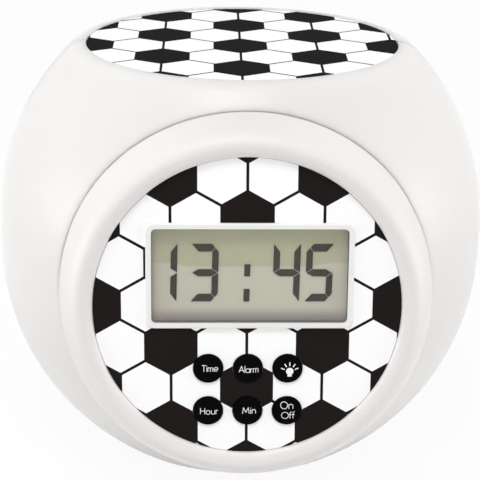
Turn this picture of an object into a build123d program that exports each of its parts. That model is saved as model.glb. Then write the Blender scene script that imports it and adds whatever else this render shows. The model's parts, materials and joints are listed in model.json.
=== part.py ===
from build123d import *
import os
from math import atan2, cos, degrees, pi, radians, sin, sqrt, tan

# Projection alarm clock: a ball-shaped casing in two half shells, a round clock face in a
# thick rounded bezel at the front, a printed disc at the top through which a lamp throws its
# pattern on the ceiling, and a battery bay behind a curved door at the rear.
# Millimetres. +Z is up, the face looks to -Y, and the origin is the middle of the surface
# that the feet stand on, under the ball's axis.

# ---------------------------------------------------------------- ball casing
ball_radius = 60.0
waist_height = 6.4             # straight band between the two half balls
wall = 2.0
base_cut = 6.5                 # ball's radius less the drop from its centre to the flat base
base_edge_radius = 1.2
rim_cut = 12.65                # ball's radius less the rise to the crest of the top rim
rim_land = 0.32                # flat crest of the rim
shoulder_radius = 5.5
foot_height = 1.5              # how far the feet stand out of the base
foot_radius = 4.5
foot_recess = 1.0
foot_edge_round = 0.5
foot_x = 19.0
foot_y = 16.0
seam_lip_height = 2.0
seam_lip_root = 3.0
seam_lip_thickness = 1.2
seam_lip_clearance = 0.15
seam_lip_bite = 0.1            # how far the lip's root is moulded into the wall
seam_boss_clearance = 0.3      # round the front half's bosses and ribs where the lip passes them
seam_lip_end = 5.5             # lip left off near the base and the top ledge

# ---------------------------------------------------------------- clock face
face_tilt = 4.0                # the face leans back by this, in degrees
face_drop = 3.3                # the face's centre lies below the ball's centre
print_inset = 2.0              # ball's radius less the depth of the printed surface
print_thickness = 0.4
print_radius = 34.1
print_clearance = 0.1
web_thickness = 2.4            # plate behind the print
bezel_rise = 1.5               # bezel crest above the print
bezel_inner_round = 2.6
bezel_outer_round = 5.5
bezel_sweep = 14.0             # depth over which the bezel's outside rounds off
bezel_wall = 2.2
bezel_length = 18.0            # printed surface back to the bezel's rear edge
bezel_clearance = 0.05
collar_wall = 2.0              # shell wall round the bezel
collar_flange_thickness = 2.0
collar_flange_width = 8.8
bezel_boss_radius = 2.8
bezel_boss_inset = 4.2         # from the bezel's outside to its screw bosses
bezel_boss_length = 7.0
bezel_boss_angles = (45, 135, 225, 315)

# ---------------------------------------------------------------- display
lcd_rise = 7.45                # display centre above the face's centre
lcd_right = 0.45               # and to the right of it
lcd_frame_width = 45.8
lcd_frame_height = 24.1
lcd_frame_corner = 2.0
lcd_frame_proud = 0.7
lcd_frame_round = 0.35
lcd_pocket_corner = 1.0
lcd_side_lip = 1.25
lcd_end_lip = 1.25
lcd_front_lip = 0.6            # frame lip in front of the window
lcd_skirt_inset = 0.5          # from the frame's outside to its skirt
lcd_skirt_wall = 0.4
lcd_skirt_length = 3.4
lcd_fit = 0.1
lcd_window_thickness = 1.2
lcd_glass_thickness = 2.2
lcd_reflector_thickness = 0.4
lcd_holder_wall = 1.7
zebra_width = 1.8

# ---------------------------------------------------------------- buttons
button_radius = 3.3
button_fit = 0.075
button_column_pitch = 8.85
button_right = 0.25            # middle column right of the face's centre
button_top_row = -14.15        # from the face's centre
button_row_pitch = 10.05
button_side_rise = 0.35        # straight side above the print
button_crown = 0.7
button_travel = 0.8
button_flange_radius = 4.0
button_flange_thickness = 1.0
print_hole_clearance = 0.15
key_radius = 2.4
key_stop_gap = 0.1             # left over between key and board at full travel
mat_thickness = 1.0
mat_margin = 5.2
mat_corner = 2.0
mat_collar_radius = 3.6
mat_collar_height = 2.6
mat_key_clearance = 0.5

# ---------------------------------------------------------------- clock board
board_clearance = 2.1          # between the board and the bezel's inside
board_thickness = 1.6
board_gap = 6.0                # board to the bezel's plate, the length of its posts
board_post_radius = 2.6
board_post_inset = 2.6         # from the board's edge to its posts
board_post_angle = 36.0
chip_radius = 5.0
chip_height = 1.6
crystal_radius = 1.0
crystal_drop = 12.7            # board's centre down to the crystal
crystal_length = 6.0
capacitor_x = 19.0
capacitor_radius = 2.5
capacitor_edge_round = 0.4
capacitor_height = 6.0

# ---------------------------------------------------------------- projector
disc_clearance = 0.1
disc_thickness = 1.7
disc_print_thickness = 0.3
disc_recess = 0.4              # the print lies this far below the rim's crest
ledge_width = 5.0
ledge_thickness = 1.8
cone_wall = 1.2
cone_mouth_radius = 4.2
cone_flange_inset = 2.0        # cone's top mouth inside the ledge's edge
cone_flange_overlap = 1.2      # cone's flange under the ledge
cone_flange_thickness = 1.5
lamp_drop = 21.0               # ball centre down to the lamp board's underside
lamp_board_radius = 24.0
lamp_post_x = 17.0
lamp_post_y = 12.0
lamp_post_radius = 3.0
led_radius = 2.5
led_rim_radius = 2.9
led_rim_height = 1.0
led_body_height = 5.0
night_led_ring = 15.0
night_led_count = 4

# ---------------------------------------------------------------- sounder
sounder_radius = 10.0
sounder_thickness = 0.6
sounder_y = 17.0
sounder_ring_height = 3.0
sounder_ring_wall = 1.4
sounder_ledge = 1.4            # ring's step under the sounder's edge
sound_hole_depth = 0.5         # how far the drill runs past the floor
sound_hole_radius = 0.9
sound_hole_ring = 4.5
sound_hole_count = 6

# ---------------------------------------------------------------- battery bay
cell_radius = 7.25
cell_length = 49.5
cell_nub_radius = 2.75
cell_nub_length = 1.0
cell_pitch = 15.2
cell_count = 3
bay_end_room = 5.5             # bay's length beyond its cells, for the contacts and springs
bay_clearance = 0.6            # between the cells and the bay's long walls
bay_wall = 1.6
bay_reach = 30.5               # ball's radius less the place of the bay's floor
bay_depth = 11.5               # height of the bay's own walls
cell_floor_gap = 0.3
spring_wire = 0.35
spring_pitch = 1.05
spring_base_radius = 3.6
spring_taper = 22.0            # degrees
contact_thickness = 0.4
contact_size = 10.0
cell_edge_round = 0.6
cradle_width = 3.8             # ribs between the cells, along the bay's height
cradle_rise = 2.1              # and above the bay's floor
cradle_x = 13.75
tab_length = 7.0
tab_width = 8.0
tab_thickness = 2.0
tab_boss_radius = 2.8
door_margin = 1.5              # ledge that carries the door's edge
door_gap = 0.3
door_thickness = 1.6
door_ledge_gap = 0.3
door_corner = 3.0
door_ear_radius = 5.5
door_ear_rise = 2.6            # door's edge up to the centre of its ear
door_boss_drop = 3.0           # the ear's boss stops this far short of the door's inside
door_screw_sink = 0.32         # the screw's seat below the ear's thinnest place
grip_rib_count = 5
grip_rib_pitch = 2.4
grip_rib_length = 14.0
grip_rib_width = 1.2
grip_rib_corner = 0.5
grip_rib_height = 0.5
grip_rib_drop = 14.0           # door centre down to the middle rib

# ---------------------------------------------------------------- screws
screw_shank_radius = 1.25
screw_head_radius = 2.3
screw_head_height = 1.6
screw_fit = 0.05               # shank in its boss
screw_pass = 0.3               # shank in a clearance hole
screw_head_round = 0.6
screw_slot_width = 0.7
screw_slot_length = 2.8
screw_tip_chamfer = 0.6
small_screw_length = 8.0
casing_screw_length = 14.0
casing_screw_x = 40.0
casing_screw_z = 23.0
casing_boss_radius = 3.6
casing_boss_front = 14.0
casing_seat_y = 6.0            # how far behind the seam the screw heads sit
casing_well_radius = 2.9
rib_thickness = 1.6

# ---------------------------------------------------------------- leads
lead_radius = 0.5
lead_hole_clearance = 0.2
bend_share = 0.45              # how much of the shorter run a bend takes up
lead_stub = 7.0                # straight length at each end before the lead turns
battery_lead_z = 11.2          # above or below the middle cell, on the end cells' contacts
battery_lead_rise = 3.0        # above the bay's floor
battery_lead_board_x = 30.0    # from the clock board's centre
battery_lead_board_y = 9.0
lamp_lead_x = 1.5
lamp_lead_y = -20.0
sounder_lead_x = 4.0
sounder_lead_y = 12.0
sounder_lead_board_drop = 30.7 # clock board's centre down to the sounder's leads

# ---------------------------------------------------------------- places worked out
base_drop = ball_radius - base_cut
rim_rise = ball_radius - rim_cut
ball_z = foot_height + base_drop
half_waist = waist_height / 2
shoulder_z = rim_rise - shoulder_radius
shoulder_x = sqrt((ball_radius - shoulder_radius) ** 2 - (shoulder_z - half_waist) ** 2)
print_depth = ball_radius - print_inset
bezel_back = print_depth - bezel_length
recess_radius = print_radius + print_clearance
crest_radius = recess_radius + bezel_inner_round
bezel_radius = crest_radius + bezel_outer_round
crest_depth = print_depth + bezel_rise
web_front = print_depth - print_thickness
web_back = web_front - web_thickness
board_front = web_back - board_gap
board_back = board_front - board_thickness
board_radius = bezel_radius - bezel_wall - board_clearance
board_post_ring = board_radius - board_post_inset
disc_radius = shoulder_x - rim_land - disc_clearance
disc_top = rim_rise - disc_recess
ledge_top = disc_top - disc_print_thickness - disc_thickness
ledge_bottom = ledge_top - ledge_thickness
ledge_radius = disc_radius - ledge_width
floor_top = -base_drop + wall
lamp_board_top = -lamp_drop + board_thickness
face_plane = Plane(
    origin=(0, 0, ball_z),
    x_dir=(1, 0, 0),
    z_dir=(0, -cos(radians(face_tilt)), sin(radians(face_tilt))),
)
parts = {}


def cylinder(x, y, low, high, radius):
    """Upright round bar between two heights."""
    bar = Cylinder(radius, high - low, align=(Align.CENTER, Align.CENTER, Align.MIN))
    return Pos(x, y, low) * bar


def tube(x, y, low, high, outer, inner):
    return cylinder(x, y, low, high, outer) - cylinder(x, y, low, high, inner)


def block(x, y, low, high, width, height, corner=0.0):
    """Upright bar of rectangular section, its corners rounded."""
    outline = Rectangle(width, height) if corner == 0 else RectangleRounded(width, height, corner)
    return Pos(x, y, low) * extrude(outline, amount=high - low)


def ball(inset, low, high):
    """The casing's ball, drawn in by an inset and cut off at two heights from its centre."""
    radius = ball_radius - inset
    low_x = sqrt(radius ** 2 - (low + half_waist) ** 2)
    high_x = sqrt(radius ** 2 - (high - half_waist) ** 2)
    low_angle = degrees(atan2(low + half_waist, low_x))
    high_angle = degrees(atan2(high - half_waist, high_x))
    with BuildSketch(Plane.XZ) as section:
        with BuildLine():
            Line((0, low), (low_x, low))
            CenterArc((0, -half_waist), radius, low_angle, -low_angle)
            Line((radius, -half_waist), (radius, half_waist))
            CenterArc((0, half_waist), radius, 0, high_angle)
            Polyline((high_x, high), (0, high), (0, low))
        make_face()
    return revolve(section.sketch, Axis.Z)


def one_solid(shape):
    """The largest solid of a shape, without the slivers that a cut may leave."""
    return max(shape.solids(), key=lambda solid: solid.volume)


def on_face(shape):
    return face_plane.location * shape


def at_ball(shape):
    return Pos(0, 0, ball_z) * shape


def screw(length):
    """A cross-head screw: its head above the origin, its shank below."""
    head = cylinder(0, 0, 0, screw_head_height, screw_head_radius)
    head = fillet(head.edges().group_by(Axis.Z)[-1], screw_head_round)
    slot = Box(screw_slot_length, screw_slot_width, screw_head_height)
    cross = slot + Rot(0, 0, 90) * slot
    shank = cylinder(0, 0, -length, 0, screw_shank_radius)
    shank = chamfer(shank.edges().group_by(Axis.Z)[0], screw_tip_chamfer)
    return one_solid(head + shank - Pos(0, 0, screw_head_height) * cross)


# ---------------------------------------------------------------- casing shells
def casing_section():
    """Half of the casing's outline: two ball arcs, the waist, and the rounded rims."""
    shoulder_angle = degrees(atan2(shoulder_z - half_waist, shoulder_x))
    edge_z = -base_drop + base_edge_radius
    edge_x = sqrt((ball_radius - base_edge_radius) ** 2 - (edge_z + half_waist) ** 2)
    edge_angle = degrees(atan2(edge_z + half_waist, edge_x))
    with BuildSketch(Plane.XZ) as section:
        with BuildLine():
            Line((0, -base_drop), (edge_x, -base_drop))
            CenterArc((edge_x, edge_z), base_edge_radius, -90, edge_angle + 90)
            CenterArc((0, -half_waist), ball_radius, edge_angle, -edge_angle)
            Line((ball_radius, -half_waist), (ball_radius, half_waist))
            CenterArc((0, half_waist), ball_radius, 0, shoulder_angle)
            CenterArc((shoulder_x, shoulder_z), shoulder_radius, shoulder_angle, 90 - shoulder_angle)
            Polyline((shoulder_x, rim_rise), (0, rim_rise), (0, -base_drop))
        make_face()
    return section.sketch


def shell_skin():
    """Both half shells in one: the wall, the flat base, and the ledge round the top disc."""
    outside = revolve(casing_section(), Axis.Z)
    inside = ball(wall, floor_top, ledge_bottom)
    seat = cylinder(0, 0, ledge_top, rim_rise + wall, disc_radius + disc_clearance)
    mouth = cylinder(0, 0, ledge_bottom - wall, rim_rise, ledge_radius)
    return outside - inside - seat - mouth


def casing_screw_places():
    return [(x, z) for x in (-casing_screw_x, casing_screw_x) for z in (-casing_screw_z, casing_screw_z)]


def y_bar(x, z, near, far, radius):
    """Round bar along Y, placed from the ball's centre."""
    bar = Cylinder(radius, far - near, align=(Align.CENTER, Align.CENTER, Align.MIN))
    return Pos(x, near, z) * Rot(-90, 0, 0) * bar


def casing_rib(x, z, near, far, grow=0.0):
    """Plate from a casing boss out to the wall."""
    reach = sqrt(x * x + z * z)
    angle = degrees(atan2(z, x))
    thickness = rib_thickness + 2 * grow
    plate = Box(ball_radius - reach, far - near, thickness, align=(Align.MIN, Align.MIN, Align.CENTER))
    return Rot(0, -angle, 0) * Pos(reach, near, 0) * plate


def post_places():
    return [(x, y) for x in (-lamp_post_x, lamp_post_x) for y in (-lamp_post_y, lamp_post_y)]


def foot_places():
    return [(x, y) for x in (-foot_x, foot_x) for y in (-foot_y, foot_y)]


def bezel_boss_places():
    ring = bezel_radius - bezel_boss_inset
    return [(ring * cos(radians(a)), -face_drop + ring * sin(radians(a))) for a in bezel_boss_angles]


def make_shells():
    within = ball(wall / 2, -base_drop + wall / 2, ledge_bottom)
    skin = shell_skin()
    size = 4 * ball_radius
    front_side = Pos(0, -size / 2, 0) * Box(size, size, size)
    rear_side = Pos(0, size / 2, 0) * Box(size, size, size)
    posts = Part()
    for x, y in post_places():
        posts += cylinder(x, y, floor_top - wall / 2, -lamp_drop, lamp_post_radius)
    post_holes = Part()
    hole_radius = screw_shank_radius + screw_fit
    for x, y in post_places():
        post_holes += cylinder(x, y, -lamp_drop - small_screw_length, -lamp_drop, hole_radius)
    feet_recesses = Part()
    for x, y in foot_places():
        feet_recesses += cylinder(x, y, -base_drop - wall, -base_drop + foot_recess, foot_radius)

    # Front half: the round opening for the bezel, its collar, and the screw flange behind it.
    opening_radius = bezel_radius + bezel_clearance
    collar_radius = opening_radius + collar_wall
    flange_back = bezel_back - collar_flange_thickness
    collar = cylinder(0, -face_drop, flange_back, print_depth, collar_radius)
    bore = cylinder(0, -face_drop, bezel_back, print_depth + ball_radius, opening_radius)
    flange_hole = cylinder(0, -face_drop, 0, bezel_back, bezel_radius - collar_flange_width)
    to_ball = Location((0, 0, -ball_z)) * face_plane.location
    front = (skin & front_side) + (to_ball * collar & within) + (posts & front_side)
    front -= to_ball * bore
    front -= to_ball * flange_hole
    for x, y in bezel_boss_places():
        front -= to_ball * cylinder(x, y, flange_back - wall, bezel_back, screw_shank_radius + screw_pass)
    for x, z in casing_screw_places():
        front += (y_bar(x, z, -casing_boss_front, 0, casing_boss_radius) & within)
        front += (casing_rib(x, z, -casing_boss_front, 0) & within)
        front -= y_bar(x, z, casing_seat_y - casing_screw_length, 0, screw_shank_radius + screw_fit)
    front = front - post_holes - feet_recesses

    # Rear half: the door opening with its ledge, the sounder's ring, and the screw wells.
    rear = (skin & rear_side) + (posts & rear_side)
    rear += seam_lip()
    for x, z in casing_screw_places():
        rear -= y_bar(x, z, -seam_lip_height, 0, casing_boss_radius + seam_boss_clearance)
        rear -= casing_rib(x, z, -seam_lip_height, 0, seam_boss_clearance)
        rear += (y_bar(x, z, 0, ball_radius, casing_boss_radius) & within)
        rear += (casing_rib(x, z, 0, casing_seat_y) & within)
        rear -= y_bar(x, z, 0, casing_seat_y, screw_shank_radius + screw_pass)
        rear -= y_bar(x, z, casing_seat_y, ball_radius, casing_well_radius)
    rear += rear_collar(within)
    rear -= door_opening()
    ring_outer = sounder_radius + sounder_ring_wall
    ring_top = floor_top + sounder_ring_height
    rear += tube(0, sounder_y, floor_top - wall / 2, ring_top, ring_outer, sounder_radius - sounder_ledge)
    rear -= cylinder(0, sounder_y, ring_top - sounder_thickness, ring_top, sounder_radius + screw_fit)
    for x, y in sound_hole_places():
        rear -= cylinder(x, y, -base_drop, floor_top + sound_hole_depth, sound_hole_radius)
    rear = rear - post_holes - feet_recesses
    parts["front_shell"] = at_ball(one_solid(front))
    parts["rear_shell"] = at_ball(one_solid(rear))


def seam_lip():
    """Thin wall inside the seam that locates the front half on the rear half."""
    outer = ball(wall + seam_lip_clearance, floor_top + seam_lip_clearance, ledge_bottom - seam_lip_clearance)
    root = ball(wall - seam_lip_bite, floor_top - seam_lip_bite, ledge_bottom + seam_lip_bite)
    core_inset = wall + seam_lip_clearance + seam_lip_thickness
    core = ball(core_inset, -base_drop + core_inset, ledge_bottom - seam_lip_thickness)
    size = 4 * ball_radius
    lip_zone = Pos(0, -seam_lip_height / 2, 0) * Box(size, seam_lip_height, size)
    root_zone = Pos(0, seam_lip_root / 2, 0) * Box(size, seam_lip_root, size)
    sides = Pos(0, 0, (ledge_bottom - base_drop) / 2)
    keep = sides * Box(size, size, ledge_bottom + base_drop - 2 * seam_lip_end)
    return ((outer & lip_zone) + (root & root_zone)) - core & keep


def sound_hole_places():
    places = [(0, sounder_y)]
    for index in range(sound_hole_count):
        angle = 2 * pi * index / sound_hole_count
        places.append((sound_hole_ring * cos(angle), sounder_y + sound_hole_ring * sin(angle)))
    return places


# ---------------------------------------------------------------- battery bay and door
bay_length = cell_length + bay_end_room
bay_floor_y = ball_radius - bay_reach
bay_height = cell_count * cell_pitch + 2 * bay_clearance
bay_rim_y = bay_floor_y + bay_depth
cell_y = bay_floor_y + cell_floor_gap + cell_radius
door_width = bay_length + 2 * door_margin
door_height = bay_height + 2 * door_margin
ear_z = door_height / 2 + door_ear_rise
tab_x = bay_length / 2 + bay_wall + tab_length / 2


def door_outline(grow):
    """The door's outline seen from behind, with its screw ear at the top."""
    panel = RectangleRounded(door_width + 2 * grow, door_height + 2 * grow, door_corner + grow)
    neck = Pos(0, door_height / 2) * Rectangle(2 * (door_ear_radius + grow), 2 * door_ear_rise)
    ear = Pos(0, ear_z) * Circle(door_ear_radius + grow)
    return panel + neck + ear


def rear_prism(outline, near, far):
    """Extrude an outline drawn as seen from behind, from one Y to another."""
    plane = Plane(origin=(0, near, 0), x_dir=(-1, 0, 0), z_dir=(0, 1, 0))
    return plane.location * extrude(outline, amount=far - near)


def door_opening():
    """The hole for the door, the bay behind it, and the door screw's hole."""
    outside = ball(door_thickness + door_ledge_gap, -base_drop, rim_rise)
    recess = rear_prism(door_outline(door_gap), bay_rim_y - wall, 2 * ball_radius) - outside
    mouth = rear_prism(Rectangle(bay_length, bay_height), bay_rim_y - wall, 2 * ball_radius)
    hole_start = door_boss_y() - small_screw_length
    hole = y_bar(0, ear_z, hole_start, 2 * ball_radius, screw_shank_radius + screw_fit)
    return recess + mouth + hole


def door_boss_y():
    """How far back the door's ear meets its boss, on the screw's axis."""
    radius = ball_radius - door_thickness - door_ledge_gap
    return sqrt(radius * radius - (ear_z - half_waist) ** 2) - door_boss_drop


def rear_collar(within):
    """Walls from the bay's rim out to the shell, the door screw's boss and the tab bosses."""
    outer = Rectangle(bay_length + 2 * bay_wall, bay_height + 2 * bay_wall)
    collar = rear_prism(outer, bay_rim_y, ball_radius)
    ledge = rear_prism(door_outline(bay_wall), bay_rim_y, ball_radius)
    ledge -= ball(wall + door_margin, -base_drop, rim_rise)
    boss = y_bar(0, ear_z, bay_rim_y, ball_radius, tab_boss_radius)
    shape = collar + ledge + boss
    for side in (-1, 1):
        shape += y_bar(side * tab_x, 0, bay_floor_y + tab_thickness, ball_radius, tab_boss_radius)
    shape = shape & within
    for side in (-1, 1):
        bottom = bay_floor_y + tab_thickness
        shape -= y_bar(side * tab_x, 0, bottom, bottom + small_screw_length, screw_shank_radius + screw_fit)
    return shape


def make_battery_bay():
    outer = Rectangle(bay_length + 2 * bay_wall, bay_height + 2 * bay_wall)
    box = rear_prism(outer, bay_floor_y - bay_wall, bay_rim_y)
    box -= rear_prism(Rectangle(bay_length, bay_height), bay_floor_y, bay_rim_y)
    for side in (-1, 1):
        tab = Pos(side * tab_x, 0) * Rectangle(tab_length, tab_width)
        box += rear_prism(tab, bay_floor_y, bay_floor_y + tab_thickness)
    for side in (-1, 1):
        box -= y_bar(side * tab_x, 0, 0, bay_rim_y, screw_shank_radius + screw_pass)
        lead_hole = Cylinder(lead_radius + lead_hole_clearance, 4 * bay_wall)
        lead_hole = Rot(0, 90, 0) * lead_hole
        box -= Pos(side * bay_length / 2, bay_floor_y + battery_lead_rise, side * battery_lead_z) * lead_hole
    # Low cradle ribs keep the cells apart.
    for index in range(cell_count - 1):
        z = (index + 1 - cell_count / 2) * cell_pitch
        for side in (-1, 1):
            rib = Pos(side * cradle_x, z) * Rectangle(rib_thickness, cradle_width)
            box += rear_prism(rib, bay_floor_y, bay_floor_y + cradle_rise)
    parts["battery_box"] = at_ball(one_solid(box))

    springs = []
    wall_x = bay_length / 2
    for index in range(cell_count):
        z = (index - (cell_count - 1) / 2) * cell_pitch
        turn = Rot(0, 0, 180 * (index % 2))
        nub_x = wall_x - contact_thickness
        start = nub_x - cell_nub_length - cell_length
        body = Rot(0, 90, 0) * cylinder(0, 0, 0, cell_length, cell_radius)
        body = fillet(body.edges(), cell_edge_round)
        nub = Rot(0, 90, 0) * cylinder(0, 0, cell_length, cell_length + cell_nub_length, cell_nub_radius)
        cell = Pos(0, cell_y, z) * (turn * (Pos(start, 0, 0) * (body + nub)))
        parts[f"battery_{index + 1}"] = at_ball(one_solid(cell))
        room = start + wall_x - contact_thickness
        helix = Helix(spring_pitch, room - 2 * spring_wire, spring_base_radius, cone_angle=-spring_taper)
        profile = Plane(origin=helix @ 0, z_dir=helix % 0) * Circle(spring_wire)
        coil = sweep(profile, path=helix, is_frenet=True)
        coil = Pos(-wall_x + contact_thickness + spring_wire, 0, 0) * Rot(0, 90, 0) * coil
        springs.append(at_ball(Pos(0, cell_y, z) * (turn * coil)))
    parts["contact_springs"] = Compound([one_solid(spring) for spring in springs])

    # At each end one contact takes a lead, and a wider one joins the two other cells.
    plates = []
    plate_y = cell_y - cell_radius + contact_size / 2
    for side in (-1, 1):
        plate_x = side * (wall_x - contact_thickness / 2)
        single = Box(contact_thickness, contact_size, contact_size)
        bridge = Box(contact_thickness, contact_size, contact_size + cell_pitch)
        plates.append(at_ball(Pos(plate_x, plate_y, side * cell_pitch) * single))
        plates.append(at_ball(Pos(plate_x, plate_y, -side * cell_pitch / 2) * bridge))
    parts["contact_plates"] = Compound(plates)

    screws = []
    for side in (-1, 1):
        item = Rot(90, 0, 0) * screw(small_screw_length + tab_thickness)
        screws.append(at_ball(Pos(side * tab_x, bay_floor_y, 0) * item))
    parts["battery_box_screws"] = Compound(screws)


def make_door():
    panel = rear_prism(door_outline(0), bay_rim_y, 2 * ball_radius) & ball(0, -base_drop, rim_rise)
    panel -= ball(door_thickness, -base_drop, rim_rise)
    ribs = Part()
    for index in range(grip_rib_count):
        z = -grip_rib_drop + (index - (grip_rib_count - 1) / 2) * grip_rib_pitch
        rib = Pos(0, z) * RectangleRounded(grip_rib_length, grip_rib_width, grip_rib_corner)
        ribs += rear_prism(rib, bay_rim_y, 2 * ball_radius)
    raised = ball(-grip_rib_height, -base_drop, rim_rise) - ball(door_thickness / 2, -base_drop, rim_rise)
    panel += ribs & raised
    head_y = door_screw_seat()
    panel -= y_bar(0, ear_z, 0, 2 * ball_radius, screw_shank_radius + screw_pass)
    panel -= y_bar(0, ear_z, head_y, 2 * ball_radius, screw_head_radius + screw_pass)
    parts["battery_door"] = at_ball(one_solid(panel))
    item = Pos(0, head_y, ear_z) * Rot(-90, 0, 0) * screw(small_screw_length)
    parts["door_screw"] = at_ball(item)


def door_screw_seat():
    """The Y of the flat under the door screw's head, sunk half-way into the ear."""
    edge = ear_z - half_waist - screw_head_radius
    return sqrt((ball_radius - door_thickness) ** 2 - edge * edge) - door_screw_sink


# ---------------------------------------------------------------- feet
def make_feet():
    names = {(-1, -1): "foot_front_left", (1, -1): "foot_front_right",
             (-1, 1): "foot_rear_left", (1, 1): "foot_rear_right"}
    for x, y in foot_places():
        foot = cylinder(x, y, 0, foot_height + foot_recess, foot_radius)
        foot = fillet(foot.edges().group_by(Axis.Z)[0], foot_edge_round)
        side = (1 if x > 0 else -1, 1 if y > 0 else -1)
        parts[names[side]] = foot


# ---------------------------------------------------------------- face
def button_places():
    places = []
    for row in (0, 1):
        y = -face_drop + button_top_row - row * button_row_pitch
        for column in (-1, 0, 1):
            places.append((button_right + column * button_column_pitch, y))
    return places


def board_post_places():
    places = []
    for side_x in (-1, 1):
        for side_y in (-1, 1):
            x = side_x * board_post_ring * cos(radians(board_post_angle))
            y = side_y * board_post_ring * sin(radians(board_post_angle))
            places.append((x, y - face_drop))
    return places


def make_bezel():
    shoulder_depth = crest_depth - bezel_sweep
    inner_void = bezel_radius - bezel_wall
    void_width = bezel_outer_round - bezel_wall
    void_sweep = bezel_sweep - bezel_wall
    void_depth = crest_depth - bezel_wall
    with BuildSketch(Plane.XZ) as section:
        with BuildLine():
            Polyline((0, web_back), (0, web_front), (recess_radius, web_front), (recess_radius, print_depth))
            EllipticalCenterArc((crest_radius, print_depth), bezel_inner_round, bezel_rise, 90, arc_size=90)
            outer_centre = (crest_radius, shoulder_depth)
            EllipticalCenterArc(outer_centre, bezel_outer_round, bezel_sweep, 0, arc_size=90)
            Polyline(
                (bezel_radius, shoulder_depth), (bezel_radius, bezel_back),
                (inner_void, bezel_back), (inner_void, shoulder_depth),
            )
            EllipticalCenterArc(outer_centre, void_width, void_sweep, 0, arc_size=90)
            Polyline((crest_radius, void_depth), (crest_radius, web_back), (0, web_back))
        make_face()
    ring = Pos(0, -face_drop, 0) * revolve(section.sketch, Axis.Z)
    screw_end = bezel_back - collar_flange_thickness + small_screw_length
    for x, y in bezel_boss_places():
        boss = cylinder(x, y, bezel_back, bezel_back + bezel_boss_length, bezel_boss_radius)
        ring += boss & cylinder(0, -face_drop, 0, crest_depth, bezel_radius - bezel_wall / 2)
        ring -= cylinder(x, y, bezel_back, screw_end, screw_shank_radius + screw_fit)
    for x, y in board_post_places():
        ring += cylinder(x, y, board_front, web_back, board_post_radius)
        ring -= cylinder(x, y, board_front, web_back, screw_shank_radius + screw_fit)
    opening_width = lcd_frame_width - 2 * lcd_skirt_inset + 2 * lcd_fit
    opening_height = lcd_frame_height - 2 * lcd_skirt_inset + 2 * lcd_fit
    lcd_y = lcd_rise - face_drop
    ring -= block(lcd_right, lcd_y, web_back, print_depth, opening_width, opening_height, lcd_frame_corner)
    for x, y in button_places():
        ring -= cylinder(x, y, web_back, print_depth, button_radius + button_fit)
    parts["face_bezel"] = on_face(one_solid(ring))

    sheet = cylinder(0, -face_drop, web_front, print_depth, print_radius)
    sheet -= block(lcd_right, lcd_y, web_front, print_depth, opening_width, opening_height, lcd_frame_corner)
    for x, y in button_places():
        sheet -= cylinder(x, y, web_front, print_depth, button_radius + print_hole_clearance)
    parts["face_print"] = on_face(one_solid(sheet))

    screws = []
    for x, y in bezel_boss_places():
        seat = bezel_back - collar_flange_thickness
        item = Rot(180, 0, 0) * screw(small_screw_length)
        screws.append(on_face(Pos(x, y, seat) * item))
    parts["bezel_screws"] = Compound(screws)


def make_display():
    x = lcd_right
    y = lcd_rise - face_drop
    window_width = lcd_frame_width - 2 * lcd_side_lip
    window_height = lcd_frame_height - 2 * lcd_end_lip
    skirt_width = lcd_frame_width - 2 * lcd_skirt_inset
    skirt_height = lcd_frame_height - 2 * lcd_skirt_inset
    pocket_width = skirt_width - 2 * lcd_skirt_wall
    pocket_height = skirt_height - 2 * lcd_skirt_wall
    lip_front = print_depth + lcd_frame_proud
    window_front = lip_front - lcd_front_lip
    window_back = window_front - lcd_window_thickness
    glass_back = window_back - lcd_glass_thickness
    reflector_back = glass_back - lcd_reflector_thickness

    lip = block(x, y, print_depth, lip_front, lcd_frame_width, lcd_frame_height, lcd_frame_corner)
    lip = fillet(lip.edges().group_by(Axis.Z)[-1], lcd_frame_round)
    skirt_corner = lcd_frame_corner - lcd_fit
    skirt = block(x, y, print_depth - lcd_skirt_length, print_depth, skirt_width, skirt_height, skirt_corner)
    pocket = block(x, y, 0, window_front, pocket_width, pocket_height, lcd_pocket_corner)
    window_hole = block(x, y, 0, lip_front, window_width, window_height, lcd_pocket_corner)
    frame = lip + skirt - pocket - window_hole
    parts["lcd_frame"] = on_face(one_solid(frame))

    plate_width = pocket_width - 2 * screw_fit
    plate_height = pocket_height - 2 * screw_fit
    pane = block(x, y, window_back, window_front, plate_width, plate_height, lcd_pocket_corner)
    parts["lcd_window"] = on_face(pane)
    glass = block(x, y, glass_back, window_back, plate_width, plate_height, lcd_pocket_corner)
    parts["lcd_glass"] = on_face(glass)

    holder = block(x, y, board_front, reflector_back, plate_width, plate_height)
    room_width = plate_width - 2 * lcd_holder_wall
    room_height = plate_height - 2 * lcd_holder_wall
    holder -= block(x, y, board_front, reflector_back, room_width, room_height)
    parts["lcd_holder"] = on_face(holder)

    zebra_y = y - room_height / 2 + zebra_width / 2 + lcd_fit
    zebra_length = room_width - 2 * lcd_fit
    zebra = block(x, zebra_y, board_front, glass_back, zebra_length, zebra_width)
    parts["zebra_strip"] = on_face(zebra)
    strip_top = zebra_y + zebra_width / 2 + lcd_fit
    reflector_height = y + plate_height / 2 - strip_top
    reflector_y = strip_top + reflector_height / 2
    size = (plate_width, reflector_height, lcd_pocket_corner)
    parts["lcd_reflector"] = on_face(block(x, reflector_y, reflector_back, glass_back, *size))


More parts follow.
